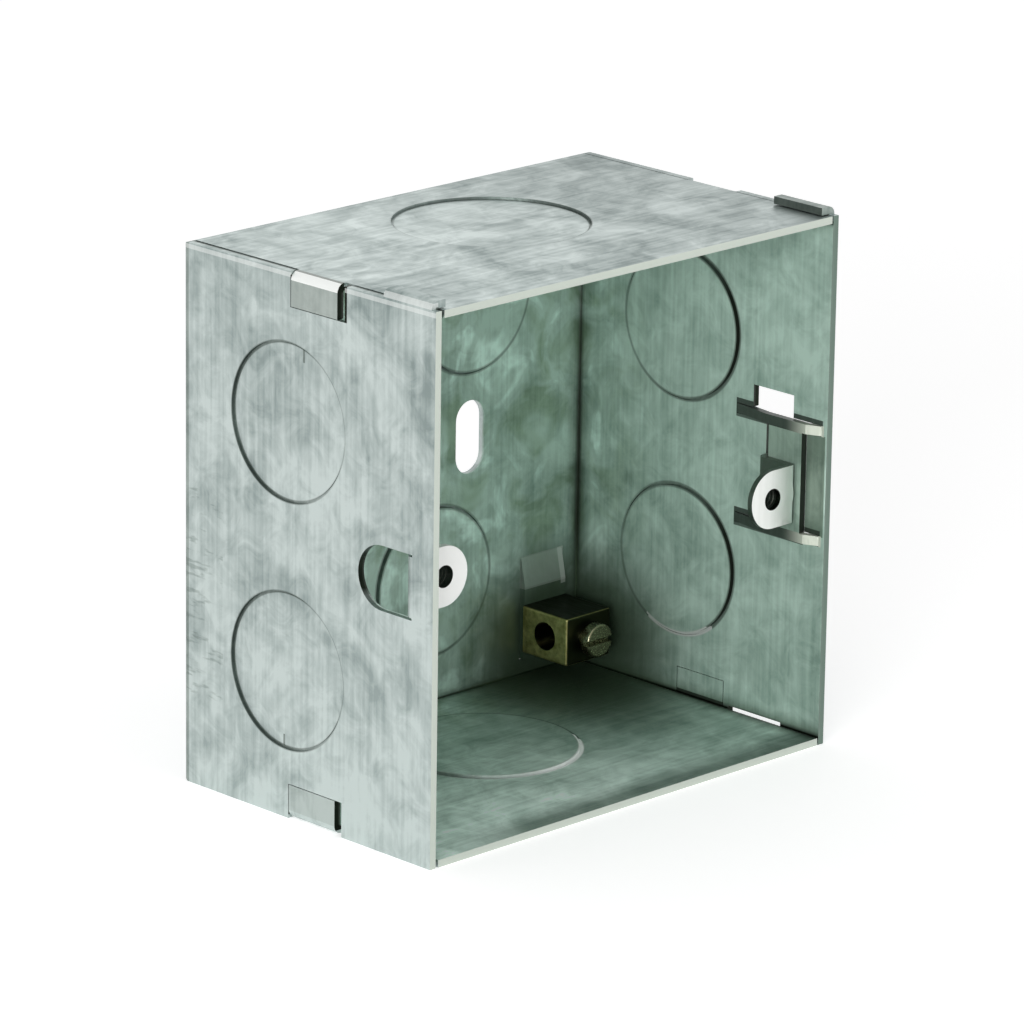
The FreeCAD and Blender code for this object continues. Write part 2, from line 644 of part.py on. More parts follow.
os.makedirs("parts", exist_ok=True)
for sub_part in sub_parts:
    sub_part.Shape.exportStep(f"parts/{sub_part.Label}.step")
    box = sub_part.Shape.BoundBox
    print(f"{sub_part.Label}: {sub_part.Shape.Volume:.1f} mm3,"
          f" {box.XLength:.2f} x {box.YLength:.2f} x {box.ZLength:.2f} mm")
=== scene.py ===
import json
import math
from types import SimpleNamespace

import bmesh
import bpy
from mathutils import Matrix, Vector


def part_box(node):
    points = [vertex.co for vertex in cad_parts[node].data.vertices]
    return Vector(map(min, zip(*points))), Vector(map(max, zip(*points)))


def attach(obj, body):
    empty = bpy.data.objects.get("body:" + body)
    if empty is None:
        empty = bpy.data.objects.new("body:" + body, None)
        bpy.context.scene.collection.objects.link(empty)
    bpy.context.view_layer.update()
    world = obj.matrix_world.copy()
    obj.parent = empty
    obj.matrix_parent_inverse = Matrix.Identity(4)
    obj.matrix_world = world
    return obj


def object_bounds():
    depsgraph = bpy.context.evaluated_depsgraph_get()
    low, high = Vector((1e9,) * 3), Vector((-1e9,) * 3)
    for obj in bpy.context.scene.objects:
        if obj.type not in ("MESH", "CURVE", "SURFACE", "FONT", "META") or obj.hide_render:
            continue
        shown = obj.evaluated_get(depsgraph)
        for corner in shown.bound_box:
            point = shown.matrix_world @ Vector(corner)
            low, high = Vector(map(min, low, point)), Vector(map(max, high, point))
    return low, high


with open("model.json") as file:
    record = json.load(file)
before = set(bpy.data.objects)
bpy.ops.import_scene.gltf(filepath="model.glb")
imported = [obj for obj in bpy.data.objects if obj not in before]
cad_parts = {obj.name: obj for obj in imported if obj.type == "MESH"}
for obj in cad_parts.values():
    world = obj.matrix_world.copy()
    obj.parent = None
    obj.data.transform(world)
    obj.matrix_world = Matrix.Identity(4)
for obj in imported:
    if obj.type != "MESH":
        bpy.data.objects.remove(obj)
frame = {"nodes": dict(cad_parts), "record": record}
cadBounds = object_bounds()
nodes = frame["nodes"]
mm = 0.001
print("frame loaded:", sorted(nodes))


# sizes of the box in millimetres, from the frame and its mounts

def frameMillimetres(place):
    return tuple(round(number / mm, 3) for number in place)


def millimetres(*numbers):
    return tuple(number * mm for number in numbers)


mounts = {mount["name"]: frameMillimetres(mount["pos_m"]) for mount in frame["record"]["mounts"]}
mountSizes = {mount["name"]: mount["dims"] for mount in frame["record"]["mounts"]}
boxLow, boxHigh = (frameMillimetres(corner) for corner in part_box("box_body"))
blockLow, blockHigh = (frameMillimetres(corner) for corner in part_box("earth_terminal_block"))
sheetThickness = 1.0
half = boxHigh[0]                   # outer face of each side, top and bottom wall, from the middle
wall = half - sheetThickness        # inner face of the same walls
front = boxLow[1]                   # front rim
clear = half + 0.5                  # just outside the box


# shared helpers for shader trees

def newNode(tree, kind, **settings):
    node = tree.nodes.new(kind)
    for name, setting in settings.items():
        setattr(node, name, setting)
    return node


def wire(tree, source, target):
    tree.links.new(source, target)


def mathNode(tree, operation, first, second=None, clamp=False):
    node = newNode(tree, "ShaderNodeMath", operation=operation, use_clamp=clamp)
    for index, value in enumerate((first, second)):
        if value is None:
            continue
        if isinstance(value, (int, float)):
            node.inputs[index].default_value = value
        else:
            wire(tree, value, node.inputs[index])
    return node.outputs[0]


def product(tree, first, *others):
    for other in others:
        first = mathNode(tree, "MULTIPLY", first, other)
    return first


def total(tree, first, *others):
    for other in others:
        first = mathNode(tree, "ADD", first, other)
    return first


def remap(tree, value, low, high, newLow, newHigh, smooth=False):
    node = newNode(tree, "ShaderNodeMapRange", interpolation_type="SMOOTHSTEP" if smooth else "LINEAR")
    wire(tree, value, node.inputs["Value"])
    for name, number in (("From Min", low), ("From Max", high), ("To Min", newLow), ("To Max", newHigh)):
        node.inputs[name].default_value = number
    return node.outputs["Result"]


def fade(tree, length, span, strength=(0.0, 1.0), smooth=False):
    # one strength where a span in millimetres starts and the other where it ends
    return remap(tree, length, *millimetres(*span), *strength, smooth=smooth)


def choose(tree, mask, off, on):
    return remap(tree, mask, 0.0, 1.0, off, on)


def mixColour(tree, factor, first, second, blend="MIX"):
    node = newNode(tree, "ShaderNodeMix", data_type="RGBA", blend_type=blend)
    sockets = (("Factor_Float", factor), ("A_Color", first), ("B_Color", second))
    for identifier, value in sockets:
        socket = next(item for item in node.inputs if item.identifier == identifier)
        if isinstance(value, bpy.types.NodeSocket):
            wire(tree, value, socket)
        elif isinstance(value, (int, float)):
            socket.default_value = value
        else:
            socket.default_value = (*value, 1.0)
    return next(item for item in node.outputs if item.identifier == "Result_Color")


def noise(tree, vector, scale, detail=3.0, roughness=0.55, distortion=0.0):
    node = newNode(tree, "ShaderNodeTexNoise")
    wire(tree, vector, node.inputs["Vector"])
    node.inputs["Scale"].default_value = scale
    node.inputs["Detail"].default_value = detail
    node.inputs["Roughness"].default_value = roughness
    node.inputs["Distortion"].default_value = distortion
    return node.outputs["Fac"]


def stretched(tree, vector, scale):
    node = newNode(tree, "ShaderNodeMapping")
    wire(tree, vector, node.inputs["Vector"])
    node.inputs["Scale"].default_value = scale
    return node.outputs["Vector"]


def splitVector(tree, vector):
    node = newNode(tree, "ShaderNodeSeparateXYZ")
    wire(tree, vector, node.inputs[0])
    return node.outputs


def bumpNode(tree, shader, height, distance, strength=1.0):
    bump = newNode(tree, "ShaderNodeBump")
    bump.inputs["Distance"].default_value = distance
    bump.inputs["Strength"].default_value = strength
    wire(tree, height, bump.inputs["Height"])
    wire(tree, bump.outputs["Normal"], shader.inputs["Normal"])


def newGroup(name, inputs, outputs):
    group = bpy.data.node_groups.new(name, "ShaderNodeTree")
    for label, kind in inputs:
        group.interface.new_socket(name=label, in_out="INPUT", socket_type="NodeSocket" + kind)
    for label, kind in outputs:
        group.interface.new_socket(name=label, in_out="OUTPUT", socket_type="NodeSocket" + kind)
    return group, newNode(group, "NodeGroupInput").outputs, newNode(group, "NodeGroupOutput").inputs


def placeGroup(tree, group, **values):
    node = newNode(tree, "ShaderNodeGroup")
    node.node_tree = group
    for name, value in values.items():
        if isinstance(value, bpy.types.NodeSocket):
            wire(tree, value, node.inputs[name])
        else:
            node.inputs[name].default_value = value
    return node.outputs


def newMaterial(name):
    material = bpy.data.materials.new(name)
    material.use_nodes = True
    tree = material.node_tree
    return material, tree, tree.nodes["Principled BSDF"]


# zones and rings in the object's own space, used to place painted light and shade, blotches, nicks and bare
# edges

ringCore = 0.45        # share of a groove's half width that has its full strength
holeEdge = (0.02, 0.05)        # how far past a hole's radius its wall is drawn in full and at all


def buildZoneGroup():
    group, given, made = newGroup("zone", [(name, "Vector") for name in ("Vector", "Low", "High")],
                                  [("Mask", "Float")])
    place = splitVector(group, given["Vector"])
    low = splitVector(group, given["Low"])
    high = splitVector(group, given["High"])
    mask = 1.0
    for axis in ("X", "Y", "Z"):
        mask = product(group, mathNode(group, "GREATER_THAN", place[axis], low[axis]), mask)
        mask = product(group, mathNode(group, "LESS_THAN", place[axis], high[axis]), mask)
    wire(group, mask, made["Mask"])
    return group


def buildRingGroup():
    group, given, made = newGroup("ringLine", [(name, "Float") for name in ("U", "V", "Radius", "Width")],
                                  [("Mask", "Float")])
    square = total(group, product(group, given["U"], given["U"]), product(group, given["V"], given["V"]))
    offLine = mathNode(group, "SUBTRACT", mathNode(group, "SQRT", square), given["Radius"])
    share = mathNode(group, "DIVIDE", mathNode(group, "ABSOLUTE", offLine), given["Width"])
    wire(group, remap(group, share, ringCore, 1.0, 1.0, 0.0, smooth=True), made["Mask"])
    return group


zone = buildZoneGroup()
ringLine = buildRingGroup()


def zoneMask(tree, vector, low, high):
    return placeGroup(tree, zone, Vector=vector, Low=millimetres(*low), High=millimetres(*high))["Mask"]


def spotMask(tree, vector, spot):
    # one at the middle of a stretched round spot, falling to nought at its reach
    away = newNode(tree, "ShaderNodeVectorMath", operation="DISTANCE")
    wire(tree, stretched(tree, vector, spot["stretch"]), away.inputs[0])
    away.inputs[1].default_value = [at * by * mm for at, by in zip(spot["place"], spot["stretch"])]
    return fade(tree, away.outputs["Value"], (spot["core"], spot["reach"]), (1.0, 0.0), smooth=True)


def holeSpot(mount):
    # the wall of a tapped hole through a lug, whatever the depth
    core, reach = (mountSizes[mount]["r_mm"] + past for past in holeEdge)
    return {"place": mounts[mount], "stretch": (1.0, 0.0, 1.0), "core": core, "reach": reach}


# zinc coat: cloudy patches, rolling streaks and fine grain, shared by the sheet and the lug

zincSettings = {
    "clouds": {"scale": 52.0, "detail": 5.0, "distortion": 1.6},        # scales are per metre
    "patches": {"scale": 210.0, "detail": 5.0, "roughness": 0.6, "distortion": 1.3},
    "streaks": {"scale": 1500.0, "detail": 4.0},
    "grain": {"scale": 2600.0, "detail": 2.0},
    "streakStretch": 0.035,
}
squareTo = 0.7         # a face turned at least this far towards an axis counts as facing it


def buildZincGroup():
    s = zincSettings
    group, given, made = newGroup("zincCoat", [("Vector", "Vector"), ("Normal", "Vector")],
                                  [(name, "Float") for name in ("Clouds", "Patches", "Streaks", "Grain")])
    place = given["Vector"]
    upright = noise(group, stretched(group, place, (1.0, 1.0, s["streakStretch"])), **s["streaks"])
    across = noise(group, stretched(group, place, (s["streakStretch"], 1.0, 1.0)), **s["streaks"])
    turnedUp = mathNode(group, "ABSOLUTE", splitVector(group, given["Normal"])["Z"])
    streaks = newNode(group, "ShaderNodeMix", data_type="FLOAT")
    wire(group, mathNode(group, "GREATER_THAN", turnedUp, squareTo), streaks.inputs[0])
    wire(group, upright, streaks.inputs[2])
    wire(group, across, streaks.inputs[3])
    wire(group, noise(group, place, **s["clouds"]), made["Clouds"])
    wire(group, noise(group, place, **s["patches"]), made["Patches"])
    wire(group, streaks.outputs[0], made["Streaks"])
    wire(group, noise(group, place, **s["grain"]), made["Grain"])
    return group


zincCoat = buildZincGroup()


# folded sheet of the box: where a point of it lies

insideSlack = 0.3      # how deep in the sheet a point still counts as inside the box


def sheetPoint(tree):
    where = newNode(tree, "ShaderNodeTexCoord").outputs
    place = splitVector(tree, where["Object"])
    facing = splitVector(tree, where["Normal"])
    corner = newNode(tree, "ShaderNodeCombineXYZ")
    wire(tree, mathNode(tree, "ABSOLUTE", place["X"]), corner.inputs["X"])
    wire(tree, place["Y"], corner.inputs["Y"])
    wire(tree, mathNode(tree, "ABSOLUTE", place["Z"]), corner.inputs["Z"])
    folded = splitVector(tree, corner.outputs["Vector"])

    # distances from the inner faces, of which the middle one is the distance from the nearest fold
    toSide = mathNode(tree, "SUBTRACT", wall * mm, folded["X"])
    toEnd = mathNode(tree, "SUBTRACT", wall * mm, folded["Z"])
    toBack = mathNode(tree, "SUBTRACT", -sheetThickness * mm, place["Y"])
    least = mathNode(tree, "MINIMUM", toSide, toBack)
    most = mathNode(tree, "MAXIMUM", toSide, toBack)
    toFold = mathNode(tree, "MAXIMUM", least, mathNode(tree, "MINIMUM", most, toEnd))
    inside = mathNode(tree, "GREATER_THAN", mathNode(tree, "MINIMUM", least, toEnd), -insideSlack * mm)
    return SimpleNamespace(
        tree=tree, vector=where["Object"], normal=where["Normal"], place=place, facing=facing,
        corner=corner.outputs["Vector"], folded=folded, toFold=toFold, inside=inside,
        outside=mathNode(tree, "SUBTRACT", 1.0, inside),
        leftwards=mathNode(tree, "LESS_THAN", facing["X"], -squareTo),
        frontwards=mathNode(tree, "LESS_THAN", facing["Y"], -squareTo),
        upwards=mathNode(tree, "GREATER_THAN", facing["Z"], squareTo))


# tone of the zinc: mottled, and each wall pales slowly from one end to the other as painted light and shade

toneSettings = {
    "outside": {"dull": (0.235, 0.287, 0.278), "bright": (0.545, 0.610, 0.592)},
    "inside": {"dull": (0.215, 0.315, 0.265), "bright": (0.500, 0.650, 0.575)},
    "contrast": (0.39, 0.61),
    "left": {"z": (36.0, -36.0), "strength": (0.02, 0.30)},
    "right": {"z": (0.0, 34.0), "strength": (0.0, 0.26)},
    "back": {"z": (-6.0, 24.0), "zStrength": (0.0, 0.36), "x": (24.0, 9.0), "xStrength": (0.0, 0.25)},
    "topDisc": {"place": (*mounts["top_knockout"][:2], half), "stretch": (1.0, 1.0, 1.0),
                "core": 12.3, "reach": 13.0, "strength": 0.2},
    "shadedFarEnd": {"x": (-20.0, 36.0), "colour": (0.70, 0.71, 0.71)},
}


def zincTone(at, blend):
    s = toneSettings
    tree = at.tree
    # painted light and shade: each wall pales from one end to the other, and the top knockout disc is
    # painted lighter
    leftDrift = product(tree, fade(tree, at.place["Z"], s["left"]["z"], s["left"]["strength"]),
                        at.leftwards, at.outside)
    rightDrift = product(tree, fade(tree, at.place["Z"], s["right"]["z"], s["right"]["strength"]),
                         at.leftwards, at.inside)
    back = s["back"]
    backDrift = product(tree, total(tree, fade(tree, at.place["Z"], back["z"], back["zStrength"]),
                                    fade(tree, at.place["X"], back["x"], back["xStrength"])),
                        at.frontwards, at.inside)
    topDrift = product(tree, spotMask(tree, at.vector, s["topDisc"]), at.upwards, at.outside,
                       s["topDisc"]["strength"])
    drift = total(tree, leftDrift, rightDrift, backDrift, topDrift)
    share = mathNode(tree, "ADD", remap(tree, blend, *s["contrast"], 0.0, 1.0), drift, clamp=True)
    tone = mixColour(tree, share, s["outside"]["dull"], s["outside"]["bright"])
    # painted shade: the top wall darkens towards its far end
    shadedFarEnd = product(tree, fade(tree, at.place["X"], s["shadedFarEnd"]["x"]), at.upwards)
    tone = mixColour(tree, shadedFarEnd, tone, s["shadedFarEnd"]["colour"], blend="MULTIPLY")
    innerTone = mixColour(tree, share, s["inside"]["dull"], s["inside"]["bright"])
    return mixColour(tree, at.inside, tone, innerTone)


# shade in the folds, deepest low down and towards the terminal

# near-black painted shade: shadow in notches, gaps, holes and fold cores, and on cut faces turned from the
# light
shearedColour = (0.012, 0.017, 0.011)
# painted shade in creases, seams and grooves; in the knockout grooves it is partly the dark sheared steel
# as well
grooveShadeColour = (0.05, 0.07, 0.055)
foldSettings = {
    "shade": {"span": (0.1, 2.6), "colour": (0.34, 0.38, 0.33), "strength": (0.35, 0.9)},
    "line": {"span": (0.25, 0.75), "strength": (0.35, 0.95)},
    "core": {"span": (0.12, 0.32), "strength": (0.85, 0.97)},
    "lowDown": (16.0, -6.0),
    "terminalSide": {"x": (9.0, 24.0), "strength": (0.35, 1.0)},
}


def shadeFolds(at, tone):
    s = foldSettings
    tree = at.tree
    lowDown = fade(tree, at.place["Z"], s["lowDown"])
    towardsTerminal = fade(tree, at.place["X"], s["terminalSide"]["x"], s["terminalSide"]["strength"])

    def nearFold(part, smooth=False):
        return product(tree, fade(tree, at.toFold, s[part]["span"], (1.0, 0.0), smooth=smooth), at.inside)

    shade = product(tree, nearFold("shade", smooth=True), towardsTerminal,
                    choose(tree, lowDown, *s["shade"]["strength"]))
    tone = mixColour(tree, shade, tone, s["shade"]["colour"], blend="MULTIPLY")
    line = product(tree, nearFold("line"), towardsTerminal, choose(tree, lowDown, *s["line"]["strength"]))
    tone = mixColour(tree, line, tone, grooveShadeColour)
    at.foldCore = nearFold("core")
    core = product(tree, at.foldCore, choose(tree, lowDown, *s["core"]["strength"]))
    return mixColour(tree, core, tone, shearedColour)


# painted light and shade inside the box: painted light on the bottom towards the front and left, darker and
# lighter blotches near the back, painted shade round the terminal

blockMiddle = tuple((low + high) / 2 for low, high in zip(blockLow, blockHigh))
insideShadingSettings = {
    "paleFront": {"y": (-14.0, -42.0), "x": (22.0, -14.0), "xStrength": (0.1, 1.0)},
    "paleRear": {"y": (-18.0, -8.0), "x": (13.0, 5.0), "xStrength": (0.0, 0.3)},
    "paleGain": (2.3, 2.0, 2.15),
    "blotches": {"scale": 125.0, "detail": 3.0, "distortion": 0.9},
    "blotchReach": (-16.0, -2.0),
    "darkBlotch": {"span": (0.50, 0.66), "colour": (0.62, 0.66, 0.56)},
    "lightBlotch": {"span": (0.44, 0.34), "colour": (1.55, 1.50, 1.55)},
    # colour of the painted shade round the terminal
    "cornerShadeColour": (0.043, 0.073, 0.041),
    "terminal": {"place": (blockMiddle[0] + 0.4, blockMiddle[1] - 0.2, blockMiddle[2] - 1.8),
                 "stretch": (0.95, 0.85, 1.05), "core": 6.6, "reach": 18.0, "strength": 0.95},
    "pool": {"place": (25.0, -11.0, -wall), "stretch": (1.3, 0.9, 1.0), "core": 6.0, "reach": 25.0,
             "strength": 0.8},
}


def insideShadingAndBlotches(at, tone):
    s = insideShadingSettings
    tree = at.tree

    def pale(part):
        return product(tree, fade(tree, at.place["X"], s[part]["x"], s[part]["xStrength"]),
                       fade(tree, at.place["Y"], s[part]["y"]))

    # painted light on the bottom, strongest towards the front and the left
    paler = mathNode(tree, "MAXIMUM", pale("paleFront"), pale("paleRear"))
    paler = product(tree, paler, at.upwards, at.inside)
    tone = mixColour(tree, paler, tone, s["paleGain"], blend="MULTIPLY")
    # darker and lighter blotches near the back
    blotches = noise(tree, at.vector, **s["blotches"])
    nearBack = product(tree, fade(tree, at.place["Y"], s["blotchReach"]), at.inside)
    for part in ("darkBlotch", "lightBlotch"):
        touched = product(tree, remap(tree, blotches, *s[part]["span"], 0.0, 1.0), nearBack)
        tone = mixColour(tree, touched, tone, s[part]["colour"], blend="MULTIPLY")
    # painted shade round the terminal block and in a pool on the bottom beside it
    terminal = product(tree, spotMask(tree, at.vector, s["terminal"]), at.inside, s["terminal"]["strength"])
    tone = mixColour(tree, terminal, tone, s["cornerShadeColour"])
    pool = product(tree, spotMask(tree, at.vector, s["pool"]), at.inside, at.upwards, s["pool"]["strength"])
    return mixColour(tree, pool, tone, s["cornerShadeColour"])


# grooves round the knockouts, drawn dark as painted shade that is partly the dark sheared steel, with
# painted highlights on some of them

ringSettings = {
    "sideRadius": 10.45,
    "endRadius": 12.9,
    "reach": 0.6,              # how far off a wall's inner face a groove is still drawn
    "width": {"outside": 0.34, "inside": 0.52},
    "strength": {"outside": 0.62, "inside": 0.78},
    "shadedSide": {"span": (-0.8, 0.6), "strength": (0.65, 1.0)},
    "endFade": {"x": (-6.0, 9.0), "strength": (0.45, 1.0)},
    "backStrength": 0.7,
    "glint": {"x": (-13.5, 11.5), "y": (-34.0, -23.0), "z": (-clear, 0.5 - wall),
              "colour": (0.98, 0.99, 0.98), "fade": (-13.5, -1.0), "strength": (0.3, 1.0)},
    "lowEdge": {"y": (-27.0, -15.0), "z": (-27.6, -24.8), "strength": 0.5},
}


def ringMask(at):
    s = ringSettings
    tree = at.tree
    width = choose(tree, at.inside, s["width"]["outside"] * mm, s["width"]["inside"] * mm)

    def ring(u, v, middle, radius):
        return placeGroup(tree, ringLine, U=mathNode(tree, "SUBTRACT", u, middle[0] * mm),
                          V=mathNode(tree, "SUBTRACT", v, middle[1] * mm),
                          Radius=radius * mm, Width=width)["Mask"]

    onSide = mathNode(tree, "GREATER_THAN", at.folded["X"], (wall - s["reach"]) * mm)
    onEnd = mathNode(tree, "GREATER_THAN", at.folded["Z"], (wall - s["reach"]) * mm)
    onBack = mathNode(tree, "GREATER_THAN", at.place["Y"], -(sheetThickness + s["reach"]) * mm)

    # the side walls' grooves are painted darker on the side whose step wall lies in shade
    middle = mounts["right_upper_knockout"][1:]
    side = product(tree, ring(at.place["Y"], at.folded["Z"], middle, s["sideRadius"]), onSide)
    across = (middle[0] - s["sideRadius"], middle[0] + s["sideRadius"])
    shadedSide = product(tree, fade(tree, at.place["Y"], across, (-1.0, 1.0)),
                      mathNode(tree, "SIGN", at.place["X"]), -1.0)
    mask = product(tree, side, remap(tree, shadedSide, *s["shadedSide"]["span"], *s["shadedSide"]["strength"]))

    # the end grooves are painted darker towards the right, as painted shade
    end = ring(at.place["X"], at.place["Y"], mounts["top_knockout"][:2], s["endRadius"])
    end = product(tree, end, onEnd, fade(tree, at.place["X"], s["endFade"]["x"], s["endFade"]["strength"]))
    mask = mathNode(tree, "MAXIMUM", mask, end)
    for name in ("upper_back_knockout", "lower_back_knockout"):
        back = ring(at.place["X"], at.place["Z"], mounts[name][::2], s["sideRadius"])
        mask = mathNode(tree, "MAXIMUM", mask, product(tree, back, onBack, s["backStrength"]))
    return mask


def drawRings(at, tone):
    s = ringSettings
    tree = at.tree
    strength = choose(tree, at.inside, s["strength"]["outside"], s["strength"]["inside"])
    tone = mixColour(tree, product(tree, at.rings, strength), tone, grooveShadeColour)
    # painted highlight on the front of the bottom knockout's groove and on the lower edge of the right
    # lower one
    glint = s["glint"]
    catching = zoneMask(tree, at.vector, *zip(glint["x"], glint["y"], glint["z"]))
    along = fade(tree, at.place["X"], glint["fade"], glint["strength"])
    catching = product(tree, at.rings, catching, along)
    tone = mixColour(tree, catching, tone, glint["colour"])
    low = s["lowEdge"]
    lowEdge = zoneMask(tree, at.vector, *zip((wall - s["reach"], wall + 0.5), low["y"], low["z"]))
    lowEdge = product(tree, at.rings, lowEdge, at.inside, low["strength"])
    return mixColour(tree, lowEdge, tone, glint["colour"])


# painted shade in a band behind the bottom rim, and nicks along the rear of the left wall

rimShadeAndNickSettings = {
    "band": {"y": (-41.5, -45.5), "x": (-32.0, -18.0), "colour": (0.34, 0.37, 0.35)},
    "nicks": {"scale": 1300.0, "detail": 2.0},
    "nickStretch": (1.0, 0.22, 1.0),
    "nickSpan": (0.58, 0.68),
    "nickStrength": (0.0, 0.6),
    "nicked": {"y": (-8.0, -0.6), "z": (-24.0, 4.0), "colour": (0.52, 0.55, 0.53)},
}


def rimShadeAndNicks(at, tone):
    s = rimShadeAndNickSettings
    tree = at.tree
    # painted shade behind the bottom rim
    band = product(tree, fade(tree, at.place["Y"], s["band"]["y"]), at.upwards, at.inside,
                   fade(tree, at.place["X"], s["band"]["x"]))
    tone = mixColour(tree, band, tone, s["band"]["colour"], blend="MULTIPLY")
    nicked = s["nicked"]
    leftFace = zoneMask(tree, at.vector, *zip((-clear, 0.5 - half), nicked["y"], nicked["z"]))
    nicks = noise(tree, stretched(tree, at.vector, s["nickStretch"]), **s["nicks"])
    nicks = product(tree, remap(tree, nicks, *s["nickSpan"], *s["nickStrength"]), leftFace)
    return mixColour(tree, nicks, tone, nicked["colour"], blend="MULTIPLY")


# marks with straight sides, most of them painted light and shade: hook tabs, seams, the terminal's ramp,
# the corner lips and the bridge

def mark(x, y, z, colour, strength=1.0, blend="MIX"):
    return {"zone": tuple(zip(x, y, z)), "colour": colour, "strength": strength, "blend": blend}


def drawMarks(at, tone, marks):
    tree = at.tree
    for item in marks:
        mask = product(tree, zoneMask(tree, at.vector, *item["zone"]), item["strength"])
        tone = mixColour(tree, mask, tone, item["colour"], blend=item["blend"])
    return tone


tabSettings = {
    "y": (-29.35, -20.65),
    "drop": 4.6,               # from the wall's edge to the tab's free end
    "bend": 1.15,
    "notch": (-1.65, 0.12),    # before and after the tab's front side
    "face": (0.30, 0.335, 0.305),
    "faceStrength": {"lower": 0.35, "upper": 0.6},
}
lipSettings = {
    "y": (-46.3, -37.5),
    "height": (0.1, 0.85),     # of the left lip's bend over the top wall
    "leftStrength": 0.45,
    "rightX": 33.9,
    # painted shade on the right lip
    "right": (0.66, 0.68, 0.65),
    "edgeTurn": {"span": (-0.3, -0.8), "strength": (0.0, 0.65)},
}
# painted highlight on rounded bends and bare edges
bendHighlightColour = (0.84, 0.86, 0.84)
tabTop = half - tabSettings["bend"]
tabEnd = half - tabSettings["drop"]
tieHalf = 0.18
rampX = (blockLow[0] + 0.1, blockHigh[0] - 0.1)
rampY = (-2.5, 0.5)

sheetMarks = [
    # ties of the left knockouts
    mark((-clear, 0.5 - half), (-22.8 - tieHalf, -22.8 + tieHalf), (24.9, 26.6), grooveShadeColour, 0.6),
    mark((-clear, 0.5 - half), (-19.4 - tieHalf, -19.4 + tieHalf), (-27.0, -25.4), grooveShadeColour, 0.6),
    # painted highlights on the rounded bends of the left tab and lip, and painted shadow in the notch
    # beside the tab
    mark((-clear, -tabTop), tabSettings["y"], (tabTop, clear), bendHighlightColour),
    mark((-clear, -tabTop), lipSettings["y"], [half + rise for rise in lipSettings["height"]], bendHighlightColour,
         lipSettings["leftStrength"]),
    mark((-clear, 0.1 - wall), [tabSettings["y"][0] + step for step in tabSettings["notch"]],
         (tabEnd - 0.1, clear), shearedColour),
    # painted shade along the fold at the rear of the left wall
    mark((-clear, 0.5 - wall), (-1.4, 1.0), (-clear, clear), (0.62, 0.64, 0.62), blend="MULTIPLY"),
    # painted shade on the ramp of the terminal's tongue and a painted highlight on its right edge
    mark(rampX, rampY, (-23.1, -18.6), (0.33, 0.38, 0.34), 0.55),
    mark((rampX[1] - 1.1, rampX[1]), rampY, (-23.6, -18.6), (0.80, 0.84, 0.80), 0.3),
    # painted shade in the seam and a painted highlight on the bare edge along the left of the top wall
    mark((-wall - 0.25, 0.2 - wall), (front, 0.0), (half - 0.3, half + 0.3), grooveShadeColour, 0.7),
    mark((-half - 0.3, 0.2 - half), (front, -0.5), (wall + 0.2, half - 0.2), bendHighlightColour, 0.4),
    # painted shade at the foot of the right lower tab
    mark((wall - 0.3, wall + 0.5), tabSettings["y"], (-wall - 0.2, 0.6 - wall), shearedColour, 0.9),
]


def drawTabs(at, tone):
    s = tabSettings
    tree = at.tree
    face = zoneMask(tree, at.corner, *zip((half - 0.2, clear), s["y"], (tabEnd - 0.05, tabTop)))
    upper = mathNode(tree, "GREATER_THAN", at.place["Z"], 0.0)
    strength = choose(tree, upper, s["faceStrength"]["lower"], s["faceStrength"]["upper"])
    return mixColour(tree, product(tree, face, strength), tone, s["face"])


def drawRightLip(at, tone):
    s = lipSettings
    tree = at.tree
    # painted shade: the right lip darker than the left one, and a painted shadow along its turned free edge
    lip = zoneMask(tree, at.vector, *zip((s["rightX"], clear), s["y"], (half + 0.05, half + 1.5)))
    tone = mixColour(tree, lip, tone, s["right"], blend="MULTIPLY")
    turned = remap(tree, at.facing["X"], *s["edgeTurn"]["span"], *s["edgeTurn"]["strength"])
    return mixColour(tree, product(tree, lip, turned), tone, shearedColour)


# painted light and shade on the lanced bridge: shade on the bar, above and below the wings and towards
# their roots, a painted highlight at the wings' tips
bridgeSettings = {
    "y": (-46.2, -30.5),
    "bar": (-43.4, -37.2),
    "wings": ((6.35, 7.65), (-8.85, -7.55)),
    "barDepth": 1.3,
    "wingDepth": 2.0,
    "skin": 0.3,               # to either side of the wall's inner face
    "barFace": (0.62, 0.63, 0.60),
    "barFront": (0.38, 0.40, 0.36),
    "shade": (0.014, 0.020, 0.014),
    "wingTipHighlight": (0.62, 0.65, 0.56),
    "wingFade": (-40.0, -45.2),
    "strength": {"barRear": 0.85, "above": 0.9, "below": 0.8, "wing": 0.92},
}


